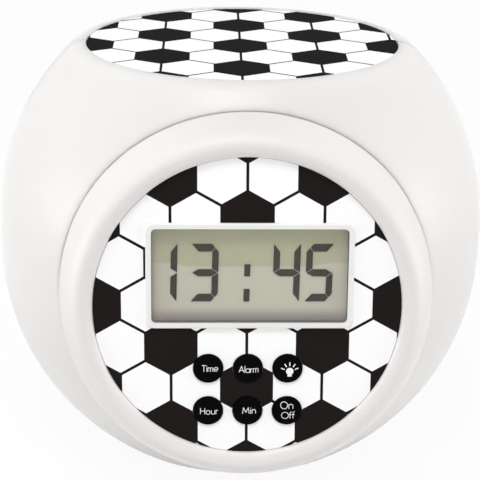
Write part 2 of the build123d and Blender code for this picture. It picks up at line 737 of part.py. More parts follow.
def make_buttons():
    names = ("time", "alarm", "light", "hour", "minute", "on_off")
    key_foot = board_front + button_travel + key_stop_gap
    flange_back = web_back - button_flange_thickness
    for name, (x, y) in zip(names, button_places()):
        side_top = print_depth + button_side_rise
        cap = cylinder(x, y, flange_back, side_top, button_radius)
        crown_radius = (button_radius ** 2 + button_crown ** 2) / (2 * button_crown)
        dome = Pos(x, y, side_top + button_crown - crown_radius) * Sphere(crown_radius)
        dome = dome & cylinder(x, y, side_top, side_top + button_crown, button_radius)
        cap = cap + dome
        flange = cylinder(x, y, flange_back, web_back, button_flange_radius)
        parts[f"{name}_button"] = on_face(one_solid(cap + flange))
        parts[f"{name}_key"] = on_face(cylinder(x, y, key_foot, flange_back, key_radius))
    centre_y = -face_drop + button_top_row - button_row_pitch / 2
    mat_width = 2 * (button_column_pitch + mat_margin)
    mat_height = button_row_pitch + 2 * mat_margin
    mat_top = board_front + mat_thickness
    mat = block(button_right, centre_y, board_front, mat_top, mat_width, mat_height, mat_corner)
    collar_top = mat_top + mat_collar_height
    for x, y in button_places():
        mat += cylinder(x, y, board_front, collar_top, mat_collar_radius)
    for x, y in button_places():
        mat -= cylinder(x, y, board_front, collar_top, key_radius + mat_key_clearance)
    parts["keypad_mat"] = on_face(one_solid(mat))


def make_board():
    board = cylinder(0, -face_drop, board_back, board_front, board_radius)
    for x, y in board_post_places():
        board -= cylinder(x, y, board_back, board_front, screw_shank_radius + screw_pass)
    parts["clock_board"] = on_face(board)
    screws = []
    for x, y in board_post_places():
        item = Rot(180, 0, 0) * screw(board_gap + board_thickness - key_stop_gap)
        screws.append(on_face(Pos(x, y, board_back) * item))
    parts["board_screws"] = Compound(screws)
    chip_sphere = (chip_radius ** 2 + chip_height ** 2) / (2 * chip_height)
    blob = Pos(0, 0, board_back - chip_height + chip_sphere) * Sphere(chip_sphere)
    blob = blob & cylinder(0, 0, board_back - chip_height, board_back, chip_radius)
    parts["clock_chip"] = on_face(blob)
    crystal_y = -face_drop - crystal_drop
    crystal = Rot(0, 90, 0) * cylinder(0, 0, -crystal_length / 2, crystal_length / 2, crystal_radius)
    parts["crystal"] = on_face(Pos(0, crystal_y, board_back - crystal_radius) * crystal)
    capacitor = cylinder(capacitor_x, -face_drop, board_back - capacitor_height, board_back, capacitor_radius)
    capacitor = fillet(capacitor.edges().group_by(Axis.Z)[0], capacitor_edge_round)
    parts["capacitor"] = on_face(capacitor)


# ---------------------------------------------------------------- projector
def led(x, y, seat):
    body = cylinder(x, y, seat, seat + led_body_height, led_radius)
    body += Pos(x, y, seat + led_body_height) * Sphere(led_radius)
    body += cylinder(x, y, seat, seat + led_rim_height, led_rim_radius)
    return body


def make_projector():
    print_low = disc_top - disc_print_thickness
    parts["disc_print"] = at_ball(cylinder(0, 0, print_low, disc_top, disc_radius))
    parts["projection_disc"] = at_ball(cylinder(0, 0, ledge_top, print_low, disc_radius))
    # The cone keeps the lamp's light to the disc; its flange sits under the shells' ledge.
    top = ledge_bottom - cone_flange_thickness
    foot = lamp_board_top
    throat = ledge_radius - cone_flange_inset
    outer = Pos(0, 0, (top + foot) / 2) * Cone(cone_mouth_radius + cone_wall, throat + cone_wall, top - foot)
    inner = Pos(0, 0, (top + foot) / 2) * Cone(cone_mouth_radius, throat, top - foot)
    flange = tube(0, 0, top, ledge_bottom, ledge_radius + cone_flange_overlap, throat)
    parts["light_cone"] = at_ball(one_solid(outer - inner + flange))

    board = cylinder(0, 0, -lamp_drop, lamp_board_top, lamp_board_radius)
    for x, y in post_places():
        board -= cylinder(x, y, -lamp_drop, lamp_board_top, screw_shank_radius + screw_pass)
    parts["lamp_board"] = at_ball(board)
    parts["projection_led"] = at_ball(led(0, 0, lamp_board_top))
    lights = []
    for index in range(night_led_count):
        angle = 2 * pi * index / night_led_count
        place = (night_led_ring * cos(angle), night_led_ring * sin(angle))
        lights.append(at_ball(led(place[0], place[1], lamp_board_top)))
    parts["night_leds"] = Compound(lights)
    screws = []
    for x, y in post_places():
        screws.append(at_ball(Pos(x, y, lamp_board_top) * screw(small_screw_length)))
    parts["lamp_board_screws"] = Compound(screws)
    disc_seat = floor_top + sounder_ring_height - sounder_thickness
    disc = cylinder(0, sounder_y, disc_seat, disc_seat + sounder_thickness, sounder_radius)
    parts["sounder"] = at_ball(disc)


def make_casing_screws():
    screws = []
    for x, z in casing_screw_places():
        item = Pos(x, casing_seat_y, z) * Rot(-90, 0, 0) * screw(casing_screw_length)
        screws.append(at_ball(item))
    parts["casing_screws"] = Compound(screws)


# ---------------------------------------------------------------- leads
def lead(*points):
    """Insulated lead: straight runs from point to point, with a round bend at each corner."""
    corners = [Vector(point) for point in points]
    radii = []
    length = (corners[-1] - corners[-2]).length
    for before, corner, after in zip(corners, corners[1:], corners[2:]):
        turn = radians((corner - before).get_angle(after - corner))
        radius = bend_share * min((corner - before).length, (after - corner).length) / tan(turn / 2)
        radii.append(radius)
        length += (corner - before).length + radius * (turn - 2 * tan(turn / 2))
    path = FilletPolyline(*corners, radius=radii)
    section = Plane(origin=path @ 0, z_dir=path % 0) * Circle(lead_radius)
    bar = one_solid(sweep(section, path=path))
    share = bar.volume / (pi * lead_radius ** 2 * length)
    print("lead radii", [round(radius, 1) for radius in radii], "volume share", round(share, 3))
    return at_ball(bar)


def on_board(x, y, depth):
    """A place behind the clock board, from the ball's centre, given from the board's centre."""
    tilt = radians(face_tilt)
    rise = y - face_drop
    return (x, rise * sin(tilt) - depth * cos(tilt), rise * cos(tilt) + depth * sin(tilt))


def make_leads():
    to_battery = []
    to_lamp = []
    to_sounder = []
    depth = board_back - lead_stub
    for side in (-1, 1):
        lead_y = bay_floor_y + battery_lead_rise
        start = (side * bay_length / 2, lead_y, side * battery_lead_z)
        outside = (side * (bay_length / 2 + lead_stub), lead_y, side * battery_lead_z)
        solder = (side * battery_lead_board_x, side * battery_lead_board_y)
        to_battery.append(lead(start, outside, on_board(*solder, depth), on_board(*solder, board_back)))

        x = side * lamp_lead_x
        corner_z = -lamp_drop - lead_stub
        tilt = radians(face_tilt)
        board_y = lamp_lead_y * sin(tilt) + corner_z * cos(tilt) + face_drop
        to_lamp.append(lead((x, lamp_lead_y, -lamp_drop), (x, lamp_lead_y, corner_z),
                            on_board(x, board_y, board_back)))

        x = side * sounder_lead_x
        sounder_top = floor_top + sounder_ring_height
        to_sounder.append(lead(
            (x, sounder_lead_y, sounder_top), (x, sounder_lead_y, sounder_top + lead_stub),
            on_board(x, -sounder_lead_board_drop, depth), on_board(x, -sounder_lead_board_drop, board_back),
        ))
    parts["battery_leads"] = Compound(to_battery)
    parts["lamp_leads"] = Compound(to_lamp)
    parts["sounder_leads"] = Compound(to_sounder)


make_shells()
make_battery_bay()
make_door()
make_feet()
make_bezel()
make_display()
make_buttons()
make_board()
make_projector()
make_casing_screws()
make_leads()

os.makedirs("parts", exist_ok=True)
for node, shape in parts.items():
    export_step(shape, f"parts/{node}.step")
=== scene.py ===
import bmesh
import bpy
import json
from math import cos, radians, sin
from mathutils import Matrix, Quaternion, Vector


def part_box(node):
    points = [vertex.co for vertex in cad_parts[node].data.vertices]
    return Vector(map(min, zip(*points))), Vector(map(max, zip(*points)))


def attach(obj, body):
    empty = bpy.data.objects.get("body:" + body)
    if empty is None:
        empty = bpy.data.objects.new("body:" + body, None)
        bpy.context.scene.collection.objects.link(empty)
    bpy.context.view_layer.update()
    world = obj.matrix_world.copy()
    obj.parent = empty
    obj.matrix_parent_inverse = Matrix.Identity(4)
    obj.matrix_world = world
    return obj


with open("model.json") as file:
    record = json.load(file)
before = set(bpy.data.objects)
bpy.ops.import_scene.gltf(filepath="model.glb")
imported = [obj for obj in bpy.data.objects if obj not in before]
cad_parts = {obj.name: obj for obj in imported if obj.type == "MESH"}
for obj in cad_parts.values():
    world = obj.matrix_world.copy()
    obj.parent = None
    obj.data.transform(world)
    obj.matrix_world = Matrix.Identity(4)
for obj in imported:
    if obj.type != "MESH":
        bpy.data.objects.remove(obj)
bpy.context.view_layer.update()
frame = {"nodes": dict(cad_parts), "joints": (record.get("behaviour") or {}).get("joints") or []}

nodes = frame["nodes"]


# ------------------------------------------------------------ casing and battery door
# Two half shells and the door, injection-moulded in white ABS with some clear resin in it,
# so light seeps a little way in. The mould is fine-blasted, which leaves a satin skin.
def srgb(code):
    """A hex colour as linear red, green, blue and alpha."""
    values = [int(code[i:i + 2], 16) / 255 for i in (1, 3, 5)]
    linear = [v / 12.92 if v <= 0.04045 else ((v + 0.055) / 1.055) ** 2.4 for v in values]
    return (*linear, 1.0)


def add(tree, kind, sockets=None, **settings):
    """Add a node with its settings, and give its sockets their values or links."""
    new = tree.nodes.new(kind)
    for name, value in settings.items():
        setattr(new, name, value)
    for socket, value in (sockets or {}).items():
        if isinstance(value, bpy.types.NodeSocket):
            tree.links.new(value, new.inputs[socket])
        else:
            new.inputs[socket].default_value = value
    return new


def start(name, **values):
    """A new material with its Principled surface; values are set on the surface's own sockets."""
    material = bpy.data.materials.new(name)
    material.use_nodes = True
    surface = material.node_tree.nodes["Principled BSDF"]
    for socket, value in values.items():
        surface.inputs[socket.replace("_", " ")].default_value = value
    return material, material.node_tree, surface


def coat(node, material):
    """Give a CAD node its finish."""
    nodes[node].data.materials.clear()
    nodes[node].data.materials.append(material)


def object_place(tree):
    """The place in the frame's own metres, which moves with the piece."""
    return add(tree, "ShaderNodeTexCoord").outputs["Object"]


def noise(tree, place, size_mm, detail):
    """Soft random patches of about one size, as a share from 0 to 1."""
    sockets = {"Vector": place, "Scale": 1000 / size_mm, "Detail": detail}
    return add(tree, "ShaderNodeTexNoise", sockets).outputs["Fac"]


def between(tree, share, first, second):
    """A colour between two, each a hex colour or another node's output."""
    ends = [srgb(end) if isinstance(end, str) else end for end in (first, second)]
    sockets = {"Factor": share, "A": ends[0], "B": ends[1]}
    return add(tree, "ShaderNodeMix", sockets, data_type="RGBA").outputs["Result"]


def spread(tree, share, low, high):
    """A number between two, for a share from 0 to 1."""
    sockets = {"Value": share, "To Min": low, "To Max": high}
    return add(tree, "ShaderNodeMapRange", sockets).outputs["Result"]


def moulded(name, light, dark, roughness, blast_mm, depth_mm, **values):
    """A moulded plastic: slight cloudiness in the resin, and the fine grain of a blasted mould."""
    cloud_mm = 30.0
    grain_strength = 0.4
    gloss_spread = 0.05
    material, tree, surface = start(name, **values)
    place = object_place(tree)
    cloud = noise(tree, place, cloud_mm, 3.0)
    grain = noise(tree, place, blast_mm, 2.0)
    tone = between(tree, cloud, light, dark)
    bump = add(tree, "ShaderNodeBump", {
        "Height": grain, "Strength": grain_strength, "Distance": depth_mm / 1000,
    })
    skin = spread(tree, grain, roughness - gloss_spread, roughness + gloss_spread)
    tree.links.new(tone, surface.inputs["Base Color"])
    tree.links.new(bump.outputs["Normal"], surface.inputs["Normal"])
    tree.links.new(skin, surface.inputs["Roughness"])
    return material


casing_abs = moulded("blasted_white_abs", "#e2e0de", "#dfdddb", 0.45, blast_mm=0.6, depth_mm=0.01,
                     IOR=1.53, Subsurface_Weight=1.0, Subsurface_Radius=(1.0, 1.0, 1.0),
                     Subsurface_Scale=0.003, Sheen_Weight=0.3, Sheen_Roughness=0.4)
for piece in ("front_shell", "rear_shell", "battery_door"):
    coat(piece, casing_abs)

# ------------------------------------------------------------ feet
# Four die-cut pads of soft rubber, glued in round recesses under the base. The rubber is
# light grey, quite matt, and finely pebbled so that it grips.
foot_rubber = moulded("soft_grey_rubber", "#b8b7b3", "#a9a8a4", 0.85, blast_mm=0.8, depth_mm=0.05,
                      IOR=1.52)
for piece in ("foot_front_left", "foot_front_right", "foot_rear_left", "foot_rear_right"):
    coat(piece, foot_rubber)


# ------------------------------------------------------------ projection disc and its printed sheet
# A clear acrylic disc on the casing's top ledge, with a thin sheet on it that is printed in
# black and white hexagons. Every third hexagon of a row is black, and fine lines part the rest.
def centre_of(node):
    """The middle of a node's box."""
    low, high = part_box(node)
    return (low + high) / 2


def calc(tree, operation, *values):
    """One step of arithmetic on numbers or other nodes' outputs."""
    step = add(tree, "ShaderNodeMath", dict(enumerate(values)), operation=operation)
    return step.outputs["Value"]


def calc_vector(tree, operation, *values):
    """One step of arithmetic on vectors."""
    step = add(tree, "ShaderNodeVectorMath", dict(enumerate(values)), operation=operation)
    return step.outputs["Value" if operation == "DOT_PRODUCT" else "Vector"]


def from_hexagon(tree, sheet, across, up, half_repeat):
    """How far the place lies from the nearest hexagon's middle: 0.5 all along its edge.

    One grid has a hexagon at across, up, and the next ones lie two rows up, and twice
    half_repeat to the side."""
    moved = calc_vector(tree, "SUBTRACT", sheet, (across, up, 0))
    folded = calc_vector(tree, "WRAP", moved, (half_repeat, 1, 1), (-half_repeat, -1, -1))
    way = calc_vector(tree, "ABSOLUTE", folded)
    to_slanting_side = calc_vector(tree, "DOT_PRODUCT", way, (0.5, 0.75, 0))
    to_upright_side = calc_vector(tree, "DOT_PRODUCT", way, (1, 0, 0))
    return calc(tree, "MAXIMUM", to_slanting_side, to_upright_side)


def hexagon_print(name, node, ink_tone, tilt, turn_degrees, pitch_mm, row_mm, line_mm, shift_mm):
    """Screen-printed sheet: hexagons in rows, worked out from the place on the sheet."""
    material, tree, surface = start(name, Roughness=0.6, IOR=1.5, Specular_IOR_Level=0.01)
    place = object_place(tree)
    level = add(tree, "ShaderNodeMapping", {
        "Vector": place, "Location": centre_of(node), "Rotation": (tilt, 0, 0),
    }, vector_type="TEXTURE").outputs["Vector"]
    sheet = add(tree, "ShaderNodeMapping", {
        "Vector": level, "Location": (shift_mm[0] / 1000, shift_mm[1] / 1000, 0),
        "Rotation": (0, 0, radians(turn_degrees)), "Scale": (pitch_mm / 1000, row_mm / 1000, 1),
    }, vector_type="TEXTURE").outputs["Vector"]
    # The lattice is two grids, one half a hexagon across and one row up from the other. The
    # black hexagons are two grids too, three times as wide.
    edge = calc(tree, "MINIMUM", from_hexagon(tree, sheet, 0.0, 0.0, half_repeat=0.5),
                from_hexagon(tree, sheet, 0.5, 1.0, half_repeat=0.5))
    black = calc(tree, "MINIMUM", from_hexagon(tree, sheet, 0.0, 0.0, half_repeat=1.5),
                 from_hexagon(tree, sheet, 1.5, 1.0, half_repeat=1.5))
    at_edge = 0.5
    half_line = line_mm / pitch_mm / 2
    on_line = calc(tree, "GREATER_THAN", edge, at_edge - half_line)
    on_black = calc(tree, "LESS_THAN", black, at_edge)
    ink = calc(tree, "MAXIMUM", on_line, on_black)
    tooth_mm = 2.0
    white = between(tree, noise(tree, place, tooth_mm, 2.0), "#fdfdfd", "#fafafa")
    tree.links.new(between(tree, ink, white, ink_tone), surface.inputs["Base Color"])
    return material


coat("disc_print", hexagon_print(
    "hexagon_sheet_top", "disc_print", "#131110", tilt=0.0, turn_degrees=-0.66, pitch_mm=12.38,
    row_mm=11.0, line_mm=0.6, shift_mm=(-0.6, -3.7),
))


def clear_plastic(name, tint, alpha, roughness):
    """Clear plastic: light goes straight through, with a glossy skin and a trace of haze."""
    haze_mm = 20.0
    material, tree, surface = start(name, Roughness=roughness, IOR=1.49)
    haze = noise(tree, object_place(tree), haze_mm, 2.0)
    tree.links.new(between(tree, haze, tint, "#ffffff"), surface.inputs["Base Color"])
    tree.links.new(spread(tree, haze, 0.9 * alpha, 1.1 * alpha), surface.inputs["Alpha"])
    return material


coat("projection_disc", clear_plastic("clear_acrylic_disc", "#f4f6f5", alpha=0.35, roughness=0.08))

# ------------------------------------------------------------ light cone
# A cone of black ABS that stands on the lamp board and keeps the lamp's light to the disc.
# It is left as it comes from a plain steel mould, dark and low in gloss.
black_abs = moulded("black_abs_inside", "#1b1b1c", "#151516", 0.6, blast_mm=0.8, depth_mm=0.02,
                    IOR=1.53)
coat("light_cone", black_abs)

# ------------------------------------------------------------ boards
# Glass-fibre boards under a green solder mask, with copper tracks that show through it as
# slightly lighter stripes. They stand on the casing's posts.
mask_green, tree, surface = start("green_solder_mask", Roughness=0.35, IOR=1.55)
track_pitch_mm = 1.6
pitches_long = 6
gap_in_pitches = 0.25
tracks = add(tree, "ShaderNodeTexBrick", {
    "Vector": object_place(tree), "Scale": 1.0, "Color1": srgb("#1f5a33"),
    "Color2": srgb("#174a29"), "Mortar": srgb("#0f3a1e"),
    "Brick Width": pitches_long * track_pitch_mm / 1000, "Row Height": track_pitch_mm / 1000,
    "Mortar Size": gap_in_pitches * track_pitch_mm / 1000,
})
tree.links.new(tracks.outputs["Color"], surface.inputs["Base Color"])
for piece in ("lamp_board", "clock_board"):
    coat(piece, mask_green)

# ------------------------------------------------------------ lamps
# One lamp for the projection and four for the night light, moulded in clear epoxy. The first
# has a slight blue cast and the four a warm one, and all are smooth from polished moulds.
coat("projection_led", clear_plastic("clear_epoxy_lamp", "#e8eef6", alpha=0.6, roughness=0.05))
coat("night_leds", clear_plastic("clear_epoxy_night_lamp", "#f6efe2", alpha=0.6, roughness=0.05))

# ------------------------------------------------------------ chip, crystal and capacitor
# The chip sits under a drop of black epoxy that set with a glossy skin. The crystal and the
# capacitor have drawn aluminium cans with faint draw lines.
coat("clock_chip", moulded("black_epoxy_drop", "#0f0f10", "#171718", 0.2, blast_mm=2.0,
                           depth_mm=0.02, IOR=1.55))


def drawn_metal(name, light, dark, roughness, line_mm):
    """Drawn or rolled metal: fine lines that stretch one way and vary its gloss."""
    scale_along = 60           # far coarser along the lines than across them
    gloss_spread = 0.08
    material, tree, surface = start(name, Metallic=1.0)
    stretched = add(tree, "ShaderNodeMapping", {
        "Vector": object_place(tree), "Scale": (1000 / line_mm, 1000 / line_mm, scale_along),
    })
    lines = add(tree, "ShaderNodeTexNoise", {
        "Vector": stretched.outputs["Vector"], "Scale": 1.0, "Detail": 2.0,
    }).outputs["Fac"]
    sheen = spread(tree, lines, roughness - gloss_spread, roughness + gloss_spread)
    tree.links.new(between(tree, lines, light, dark), surface.inputs["Base Color"])
    tree.links.new(sheen, surface.inputs["Roughness"])
    return material


aluminium_can = drawn_metal("drawn_aluminium_can", "#d6d6d4", "#bdbdbb", 0.3, line_mm=0.15)
for piece in ("crystal", "capacitor"):
    coat(piece, aluminium_can)

# ------------------------------------------------------------ sounder
# A thin brass disc with a ceramic layer, set in its ring over the base's holes. The brass
# is rolled, with a soft yellow shine.
coat("sounder", drawn_metal("rolled_brass", "#d8b56a", "#c39b50", 0.32, line_mm=0.2))

# ------------------------------------------------------------ bezel
# The thick ring round the face, one moulding with the plate behind the print. It is white ABS
# like the casing, from a mould whose satin grain is wider and much shallower.
bezel_abs = moulded("satin_white_abs", "#e4e1e0", "#e0dddc", 0.5, blast_mm=1.2, depth_mm=0.004,
                    IOR=1.53, Subsurface_Weight=0.5, Subsurface_Radius=(1.0, 1.0, 1.0),
                    Subsurface_Scale=0.001)
coat("face_bezel", bezel_abs)

# ------------------------------------------------------------ printed sheet of the face
# A thin sheet glued to the bezel's plate and printed like the top disc's. A black hexagon
# lies behind the middle pair of buttons. The sheet leans back with the face.
outward = -Vector(frame["joints"][0]["axis"])
face_turn = outward.angle(Vector((0, 0, 1)))
coat("face_print", hexagon_print(
    "hexagon_sheet_face", "face_print", "#211d1c", tilt=face_turn, turn_degrees=0.27,
    pitch_mm=11.23, row_mm=9.7, line_mm=0.65, shift_mm=(-0.1, 0.73),
))

# ------------------------------------------------------------ display surround
# A raised frame with rounded corners, moulded in off-white styrene and pressed into the
# bezel's plate round the display.
coat("lcd_frame", moulded("off_white_styrene", "#efecea", "#e9e6e4", 0.3, blast_mm=1.0,
                          depth_mm=0.004, IOR=1.59, Subsurface_Weight=0.3, Subsurface_Scale=0.002))

# ------------------------------------------------------------ display
# Liquid crystal glass behind a clear window, with a silvery grey-green film at its back. The
# lit segments are dark, and float a little in front of the film, so they cast soft shadows.
face_up = Vector((0, outward.z, -outward.y))


def reach(node):
    """How far a node's foremost point lies along the face's outward direction."""
    return max(vertex.co @ outward for vertex in nodes[node].data.vertices)


def back_of(node):
    """How far a node's rearmost point lies along the same direction."""
    return min(vertex.co @ outward for vertex in nodes[node].data.vertices)


def face_point(origin, depth, x, y):
    """A place in front of a point of the face: x and y in mm across it, depth along outward."""
    flat = origin - outward * (origin @ outward)
    return flat + outward * depth + Vector((x / 1000, 0, 0)) + face_up * (y / 1000)


def plates(name, outlines, body, material, thickness):
    """One piece made of flat plates; each outline is a loop of points at the plates' front."""
    mesh = bpy.data.meshes.new(name)
    work = bmesh.new()
    for outline in outlines:
        front = [work.verts.new(point) for point in outline]
        back = [work.verts.new(point - outward * thickness) for point in outline]
        work.faces.new(front)
        work.faces.new(list(reversed(back)))
        for i in range(len(outline)):
            j = (i + 1) % len(outline)
            work.faces.new((front[i], back[i], back[j], front[j]))
    bmesh.ops.recalc_face_normals(work, faces=work.faces)
    work.to_mesh(mesh)
    work.free()
    piece = bpy.data.objects.new(name, mesh)
    bpy.context.scene.collection.objects.link(piece)
    mesh.materials.append(material)
    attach(piece, body)


def smooth_share(tree, value, first, last, full=1.0):
    """A share that rises smoothly from 0 at the first value to full at the last."""
    sockets = {"Value": value, "From Min": first, "From Max": last, "To Max": full}
    step = add(tree, "ShaderNodeMapRange", sockets, interpolation_type="SMOOTHSTEP")
    return step.outputs["Result"]


display_centre = centre_of("lcd_window")
film_material, tree, surface = start("silvered_film", Roughness=0.5, IOR=1.5,
                                     Specular_IOR_Level=0.1)
from_centre = calc_vector(tree, "SUBTRACT", object_place(tree), display_centre)
height = calc_vector(tree, "DOT_PRODUCT", from_centre, face_up)
across = add(tree, "ShaderNodeSeparateXYZ", {"Vector": from_centre}).outputs["X"]
side = calc(tree, "ABSOLUTE", across)
# The film is olive in its upper part and silver below, with painted shade towards its lower end.
# The olive part reaches a little less far down near the sides than in the middle. All in metres.
olive_edge = 0.0017            # above the display's middle
olive_edge_rise = 0.0009       # more than that, at the sides
olive_side_start = 0.0132      # from the display's middle
olive_side_end = 0.0180
edge_height = add(tree, "ShaderNodeMapRange", {
    "Value": side, "From Min": olive_side_start, "From Max": olive_side_end,
    "To Min": olive_edge, "To Max": olive_edge + olive_edge_rise,
}).outputs["Result"]
edge_blur = 0.0003
above_edge = calc(tree, "SUBTRACT", height, edge_height)
olive = smooth_share(tree, above_edge, -edge_blur, edge_blur)
# Painted shade: from here down, the film's colour turns to a dark purple-grey at its lower end.
painted_shade_end = -0.0102
silver_start = -0.0072
silver = smooth_share(tree, height, painted_shade_end, silver_start)
low_tone = between(tree, silver, "#9b9492", "#bcbbab")
film_tone = between(tree, olive, low_tone, "#acac92")
# Towards its left and right ends, a painted reflection of the surround's warm tone lies on the
# film.
surround_reflection_start = 0.0165
surround_reflection_end = 0.0216
surround_reflection = smooth_share(tree, side, surround_reflection_start, surround_reflection_end, full=0.25)
tree.links.new(between(tree, surround_reflection, film_tone, "#b9aea4"), surface.inputs["Base Color"])


def rounded(half_width, half_height, corner, steps=6):
    """A rectangle with round corners, x and y in mm."""
    loop = []
    for turn, sx, sy in ((0, 1, 1), (90, -1, 1), (180, -1, -1), (270, 1, -1)):
        middle = (sx * (half_width - corner), sy * (half_height - corner))
        for i in range(steps + 1):
            angle = radians(turn + 90 * i / steps)
            loop.append((middle[0] + corner * cos(angle), middle[1] + corner * sin(angle)))
    return loop


# The film is a shallow tray: its edges are turned forward to the window's front.
film_half_width = 21.63        # mm, as the next two
film_half_height = 10.78
film_corner = 1.0
film_thickness = 0.00004       # metres, as the next two
film_behind_front = 0.00004    # its turned edge, behind the window's front
film_behind_back = 0.0002      # its floor, behind the window's back
film_front = reach("lcd_window") - film_behind_front
film_depth = back_of("lcd_window") - film_behind_back
film_loop = rounded(film_half_width, film_half_height, film_corner)
film_outlines = [[face_point(display_centre, film_depth, x, y) for x, y in film_loop]]
for (x0, y0), (x1, y1) in zip(film_loop, film_loop[1:] + film_loop[:1]):
    film_outlines.append([
        face_point(display_centre, film_depth, x0, y0),
        face_point(display_centre, film_depth, x1, y1),
        face_point(display_centre, film_front, x1, y1),
        face_point(display_centre, film_front, x0, y0),
    ])
plates("lcd_film", film_outlines, "casing", film_material, film_thickness)

coat("lcd_reflector", moulded("reflector_backing", "#9a9a86", "#93937f", 0.5, blast_mm=1.0,
                              depth_mm=0.01, IOR=1.5))
coat("lcd_glass", clear_plastic("liquid_crystal_glass", "#dfe0cf", alpha=0.02, roughness=0.12))
coat("lcd_window", clear_plastic("clear_window", "#f2f3ee", alpha=0.02, roughness=0.1))
coat("lcd_holder", moulded("white_abs_inside", "#dddcd8", "#d5d4d0", 0.5, blast_mm=0.8,
                           depth_mm=0.02, IOR=1.53))
coat("zebra_strip", moulded("layered_elastomer", "#4a4a4c", "#3c3c3e", 0.7, blast_mm=0.4,
                            depth_mm=0.02, IOR=1.45))

# The digits are drawn in mm from the display's middle.
digit_width = 5.95
digit_height = 13.25
digit_base = -6.3
upright_bar = 1.42
level_bar = 1.75
segment_gap = 0.11
digit_lean = 0.021             # sideways run of an upright bar for each mm of its height
lit_segments = {"1": "bc", "3": "abcdg", "4": "bcfg", "5": "acdfg"}
digit_places = (("1", -22.08), ("3", -12.99), ("4", 5.02), ("5", 12.23))
colon_x = (-1.33, -0.02)
colon_heights = ((2.27, -0.5), (-3.43, -6.33))


def level_segment(left_lit, right_lit):
    """The top bar: an end is cut to a point where the next segment is lit, else slanted."""
    wide, tall, gap = upright_bar, level_bar, segment_gap
    left = [(wide / 2 + gap, -tall / 2)] if left_lit else []
    right = [(digit_width - wide / 2 - gap, -tall / 2)] if right_lit else []
    top_left = (wide + gap, 0) if left_lit else (0, 0)
    top_right = (digit_width - wide - gap, 0) if right_lit else (digit_width, 0)
    low_left, low_right = (wide + gap, -tall), (digit_width - wide - gap, -tall)
    return [low_left, *left, top_left, top_right, *right, low_right]


def upright_segment(top_lit):
    """The upper right bar, from the digit's top down to its middle."""
    wide, tall, gap = upright_bar, level_bar, segment_gap
    middle = -digit_height / 2
    top = [(-wide / 2, -tall / 2 - gap), (0, -tall - gap)] if top_lit else [(0, 0)]
    return [(-wide, middle + tall / 2 + gap), (-wide, -tall - gap), *top, (0, middle + gap)]


def digit_outlines(lit):
    """A digit's lit segments, from its lower left corner."""
    outlines = []
    for name, ends, flip in (("a", "fb", 1), ("d", "ec", -1)):
        if name in lit:
            base = digit_height if flip > 0 else 0
            bar = level_segment(ends[0] in lit, ends[1] in lit)
            outlines.append([(x, flip * y + base) for x, y in bar])
    uprights = (("b", "a", 1, 1), ("c", "d", 1, -1), ("f", "a", -1, 1), ("e", "d", -1, -1))
    for name, end, mirror, flip in uprights:
        if name in lit:
            left = digit_width if mirror > 0 else 0
            base = digit_height if flip > 0 else 0
            bar = upright_segment(end in lit)
            outlines.append([(mirror * x + left, flip * y + base) for x, y in bar])
    if "g" in lit:
        middle = digit_height / 2
        tip, shoulder = 2 * segment_gap, upright_bar + segment_gap
        half = level_bar / 2 - segment_gap / 2
        outlines.append([
            (tip, middle), (shoulder, middle + half), (digit_width - shoulder, middle + half),
            (digit_width - tip, middle), (digit_width - shoulder, middle - half),
            (shoulder, middle - half),
        ])
    return outlines


segment_thickness = 0.00004    # metres, as the next one
segment_behind_back = 0.00006  # behind the window's back, and so in front of the film
segment_depth = back_of("lcd_window") - segment_behind_back
segment_outlines = []
for digit, left in digit_places:
    for outline in digit_outlines(lit_segments[digit]):
        segment_outlines.append([
            face_point(display_centre, segment_depth, left + x + digit_lean * y, digit_base + y)
            for x, y in outline
        ])
for high, low in colon_heights:
    block = ((colon_x[0], low), (colon_x[1], low), (colon_x[1], high), (colon_x[0], high))
    segment_outlines.append([
        face_point(display_centre, segment_depth, x + digit_lean * (y - digit_base), y)
        for x, y in block
    ])
segment_ink = moulded("dark_liquid_crystal", "#31302a", "#2c2b26", 0.5, blast_mm=1.0,
                      depth_mm=0.002, IOR=1.5, Specular_IOR_Level=0.15)
plates("lcd_segments", segment_outlines, "casing", segment_ink, segment_thickness)

# ------------------------------------------------------------ buttons
# Six domed caps in black ABS from a polished mould, so deep that little light comes back.
# Each rides with its silicone key, and its legend is pad-printed in white over the dome.
button_names = ("time", "alarm", "light", "hour", "minute", "on_off")
black_gloss = moulded("polished_black_abs", "#060505", "#080707", 0.3, blast_mm=2.0,
                      depth_mm=0.003, IOR=1.53, Specular_IOR_Level=0.02)
silicone = moulded("translucent_silicone", "#c9c8c4", "#bfbeba", 0.6, blast_mm=0.8, depth_mm=0.02,
                   IOR=1.41, Subsurface_Weight=0.3, Subsurface_Scale=0.002)
for name in button_names:
    coat(f"{name}_button", black_gloss)
    coat(f"{name}_key", silicone)
coat("keypad_mat", silicone)


def arc(x, y, radius, first, last, steps=14):
    """Points round part of a circle, angles in degrees."""
    turns = [radians(first + (last - first) * i / steps) for i in range(steps + 1)]
    return [(x + radius * cos(turn), y + radius * sin(turn)) for turn in turns]


